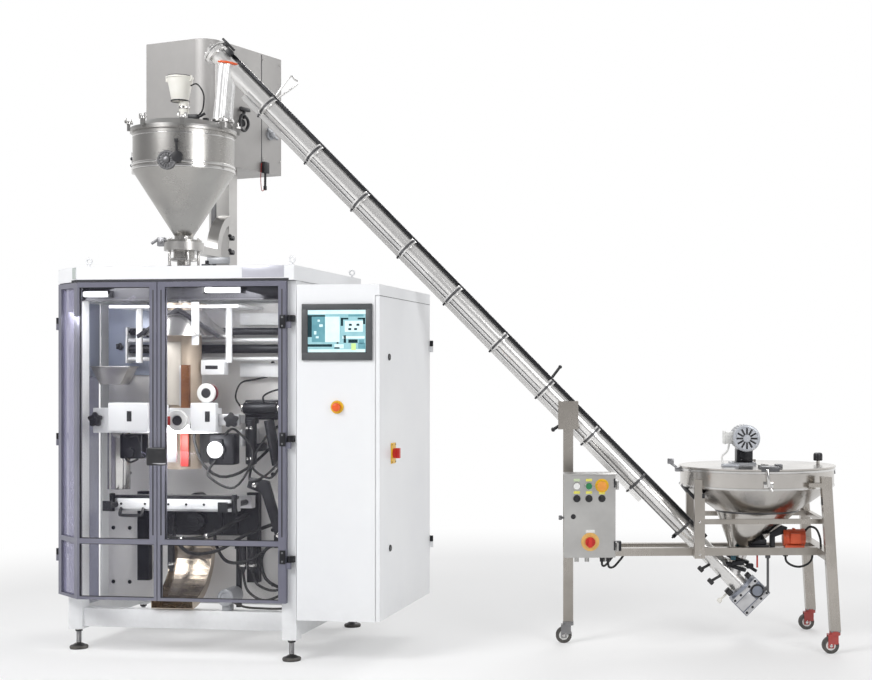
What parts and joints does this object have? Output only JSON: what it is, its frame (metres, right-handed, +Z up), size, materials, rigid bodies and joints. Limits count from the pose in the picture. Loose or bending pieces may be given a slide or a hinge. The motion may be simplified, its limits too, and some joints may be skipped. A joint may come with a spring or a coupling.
{
  "type": "vertical form fill sealer",
  "caption": "Vertical form fill sealer with glazed doors, electrical cabinet, top auger filler and an inclined screw feeder on a wheeled hopper cart.",
  "frame": {"origin": "on the floor under the middle of the bounding box", "axes": "+X from the sealer towards the feeder cart, +Y to the back of the sealer, +Z up"},
  "size_m": [3.787, 1.4296, 3.092],
  "materials": {
    "white_paint": "white powder coat",
    "plate_grey": "light grey coat",
    "foot_steel": "zinc plated steel",
    "tinted_glass": "purple tinted acrylic",
    "clear_glass": "clear acrylic",
    "anodised_profile": "violet grey anodised",
    "black_plastic": "moulded black",
    "red_plastic": "red",
    "panel_grey": "dark grey bezel",
    "yellow_plastic": "yellow",
    "orange_plastic": "orange red",
    "tan_coating": "warm textured coat",
    "stainless": "brushed stainless",
    "black_rubber": "black rubber",
    "copper_bar": "heat stained bar",
    "bright_aluminium": "machined",
    "black_metal": "black oxide",
    "film_white": "wound film",
    "cream_plastic": "cream housing",
    "motor_grey": "grey blue paint",
    "orange_paint": "orange red paint",
    "box_grey": "grey powder coat",
    "white_plastic": "white",
    "green_plastic": "green",
    "fork_red": "red lacquer",
    "wheel_grey": "dark tread"
  },
  "bodies": {
    "root": {"main_frame": "white_paint", "levelling_feet": "foot_steel", "body_panels": "white_paint", "back_plate": "plate_grey", "side_window": "tinted_glass", "door_hinges": "black_plastic", "cabinet_shell": "white_paint", "touch_panel": "panel_grey", "estop_collar": "yellow_plastic", "forming_tube": "tan_coating", "forming_shoulder": "stainless", "film_frame": "white_paint", "jaw_carriage": "black_metal", "discharge_chute": "stainless", "chamber_hoses": "black_rubber", "filler_column": "stainless", "drive_box": "stainless", "filler_hopper": "stainless", "hopper_cover": "stainless", "auger_motor": "cream_plastic", "feeder_tube": "stainless", "feeder_drive": "motor_grey", "cart_frame": "stainless", "cart_hopper": "stainless", "cart_cover": "stainless", "agitator_motor": "motor_grey", "vibrator_motor": "orange_paint", "control_box": "box_grey"},
    "right_door": {"right_door_frame": "anodised_profile", "right_door_panes": "clear_glass"},
    "left_door": {"left_door_frame": "anodised_profile", "left_door_panes": "tinted_glass"},
    "door_latch": {"door_latch": "black_plastic"},
    "cabinet_door": {"cabinet_door": "white_paint"},
    "main_switch": {"main_switch": "red_plastic"},
    "estop_button": {"estop_button": "orange_plastic"},
    "film_roller": {"film_roller": "black_rubber"},
    "vertical_sealer": {"vertical_sealer": "copper_bar"},
    "left_pull_belt": {"left_pull_belt": "black_rubber"},
    "right_pull_belt": {"right_pull_belt": "black_rubber"},
    "left_pulley": {"left_pulley": "bright_aluminium"},
    "right_pulley": {"right_pulley": "bright_aluminium"},
    "front_jaw": {"front_jaw": "bright_aluminium"},
    "rear_jaw": {"rear_jaw": "bright_aluminium"},
    "film_reel": {"film_reel": "film_white"},
    "filler_auger": {"filler_auger": "stainless"},
    "feeder_screw": {"feeder_screw": "stainless"},
    "cart_flap": {"cart_flap": "stainless"},
    "control_door": {"control_door": "box_grey"},
    "control_estop": {"control_estop": "orange_plastic"},
    "control_switch": {"control_switch": "red_plastic"},
    "start_button": {"start_button": "white_plastic"},
    "stop_button": {"stop_button": "green_plastic"},
    "mode_selector": {"mode_selector": "black_plastic"},
    "left_caster": {"left_caster": "fork_red"},
    "front_caster": {"front_caster": "fork_red"},
    "rear_caster": {"rear_caster": "fork_red"},
    "left_wheel": {"left_wheel": "wheel_grey"},
    "front_wheel": {"front_wheel": "wheel_grey"},
    "rear_wheel": {"rear_wheel": "wheel_grey"}
  },
  "joints": [
    {"name": "right_door_hinge", "type": "hinge", "parent": "root", "child": "right_door", "pos_m": [-0.65551, -0.66083, 1.027], "axis": [0, 0, 1], "range_deg": [0, 100]},
    {"name": "left_door_hinge", "type": "hinge", "parent": "root", "child": "left_door", "pos_m": [-1.88451, -0.50783, 1.027], "axis": [0, 0, -1], "range_deg": [0, 100]},
    {"name": "door_latch_turn", "type": "hinge", "parent": "left_door", "child": "door_latch", "pos_m": [-1.32051, -0.67083, 0.956], "axis": [0, -1, 0], "range_deg": [0, 90]},
    {"name": "cabinet_door_hinge", "type": "hinge", "parent": "root", "child": "cabinet_door", "pos_m": [-0.21351, 0.23617, 0.9795], "axis": [0, 0, 1], "range_deg": [0, 18]},
    {"name": "main_switch_turn", "type": "hinge", "parent": "cabinet_door", "child": "main_switch", "pos_m": [-0.22051, -0.45083, 0.968], "axis": [1, 0, 0], "range_deg": [0, 90]},
    {"name": "estop_push", "type": "slide", "parent": "root", "child": "estop_button", "axis": [0, 1, 0], "range_m": [0, 0.005], "stiffness_N_per_m": 800},
    {"name": "film_roller_spin", "type": "hinge", "parent": "root", "child": "film_roller", "pos_m": [-1.25051, -0.22083, 1.47], "axis": [1, 0, 0], "continuous": true},
    {"name": "vertical_seal_press", "type": "slide", "parent": "root", "child": "vertical_sealer", "axis": [0, 1, 0], "range_m": [0, 0.016]},
    {"name": "left_belt_press", "type": "slide", "parent": "root", "child": "left_pull_belt", "axis": [1, 0, 0], "range_m": [0, 0.01]},
    {"name": "right_belt_press", "type": "slide", "parent": "root", "child": "right_pull_belt", "axis": [-1, 0, 0], "range_m": [0, 0.01]},
    {"name": "left_pulley_spin", "type": "hinge", "parent": "left_pull_belt", "child": "left_pulley", "pos_m": [-1.43851, -0.35083, 1.119], "axis": [0, 1, 0], "continuous": true},
    {"name": "right_pulley_spin", "type": "hinge", "parent": "right_pull_belt", "child": "right_pulley", "pos_m": [-1.18251, -0.35083, 1.119], "axis": [0, 1, 0], "continuous": true},
    {"name": "front_jaw_close", "type": "slide", "parent": "root", "child": "front_jaw", "axis": [0, 1, 0], "range_m": [0, 0.066]},
    {"name": "rear_jaw_close", "type": "slide", "parent": "root", "child": "rear_jaw", "axis": [0, -1, 0], "range_m": [0, 0.066]},
    {"name": "film_reel_spin", "type": "hinge", "parent": "root", "child": "film_reel", "pos_m": [-1.31051, 0.08917, 0.62], "axis": [1, 0, 0], "continuous": true},
    {"name": "auger_spin", "type": "hinge", "parent": "root", "child": "filler_auger", "pos_m": [-1.31051, -0.35083, 2], "axis": [0, 0, 1], "continuous": true},
    {"name": "feeder_screw_spin", "type": "hinge", "parent": "root", "child": "feeder_screw", "pos_m": [-0.47654, -0.16436, 2.21675], "axis": [0.6903, 0.1217, -0.7133], "continuous": true},
    {"name": "cart_flap_hinge", "type": "hinge", "parent": "root", "child": "cart_flap", "pos_m": [1.48127, 0.18086, 0.898], "axis": [0.1736, -0.9848, 0], "range_deg": [0, 92]},
    {"name": "control_door_hinge", "type": "hinge", "parent": "root", "child": "control_door", "pos_m": [0.83021, -0.25583, 0.6625], "axis": [0, 0, 1], "range_deg": [0, 110]},
    {"name": "control_estop_push", "type": "slide", "parent": "control_door", "child": "control_estop", "axis": [-0.1736, 0.9848, 0], "range_m": [0, 0.006], "stiffness_N_per_m": 800},
    {"name": "control_switch_turn", "type": "hinge", "parent": "control_door", "child": "control_switch", "pos_m": [0.70358, -0.28628, 0.541], "axis": [0.1736, -0.9848, 0], "range_deg": [0, 90]},
    {"name": "start_push", "type": "slide", "parent": "control_door", "child": "start_button", "axis": [-0.1736, 0.9848, 0], "range_m": [0, 0.004], "stiffness_N_per_m": 400},
    {"name": "stop_push", "type": "slide", "parent": "control_door", "child": "stop_button", "axis": [-0.1736, 0.9848, 0], "range_m": [0, 0.004], "stiffness_N_per_m": 400},
    {"name": "mode_turn", "type": "hinge", "parent": "control_door", "child": "mode_selector", "pos_m": [0.64055, -0.2974, 0.748], "axis": [0.1736, -0.9848, 0], "range_deg": [-45, 45]},
    {"name": "left_caster_swivel", "type": "hinge", "parent": "root", "child": "left_caster", "pos_m": [0.54669, 0.01607, 0.11], "axis": [0, 0, 1], "continuous": true},
    {"name": "left_wheel_spin", "type": "hinge", "parent": "left_caster", "child": "left_wheel", "pos_m": [0.52502, 0.01225, 0.04], "axis": [-0.1736, 0.9848, 0], "continuous": true},
    {"name": "front_caster_swivel", "type": "hinge", "parent": "root", "child": "front_caster", "pos_m": [1.86455, -0.08665, 0.11], "axis": [0, 0, 1], "continuous": true},
    {"name": "front_wheel_spin", "type": "hinge", "parent": "front_caster", "child": "front_wheel", "pos_m": [1.84288, -0.09047, 0.04], "axis": [-0.1736, 0.9848, 0], "continuous": true},
    {"name": "rear_caster_swivel", "type": "hinge", "parent": "root", "child": "rear_caster", "pos_m": [1.74994, 0.56332, 0.11], "axis": [0, 0, 1], "continuous": true},
    {"name": "rear_wheel_spin", "type": "hinge", "parent": "rear_caster", "child": "rear_wheel", "pos_m": [1.72828, 0.5595, 0.04], "axis": [-0.1736, 0.9848, 0], "continuous": true}
  ],
  "couplings": [
    {"joint": "right_belt_press", "follows": "left_belt_press", "ratio": 1},
    {"joint": "right_pulley_spin", "follows": "left_pulley_spin", "ratio": -1},
    {"joint": "rear_jaw_close", "follows": "front_jaw_close", "ratio": 1}
  ]
}
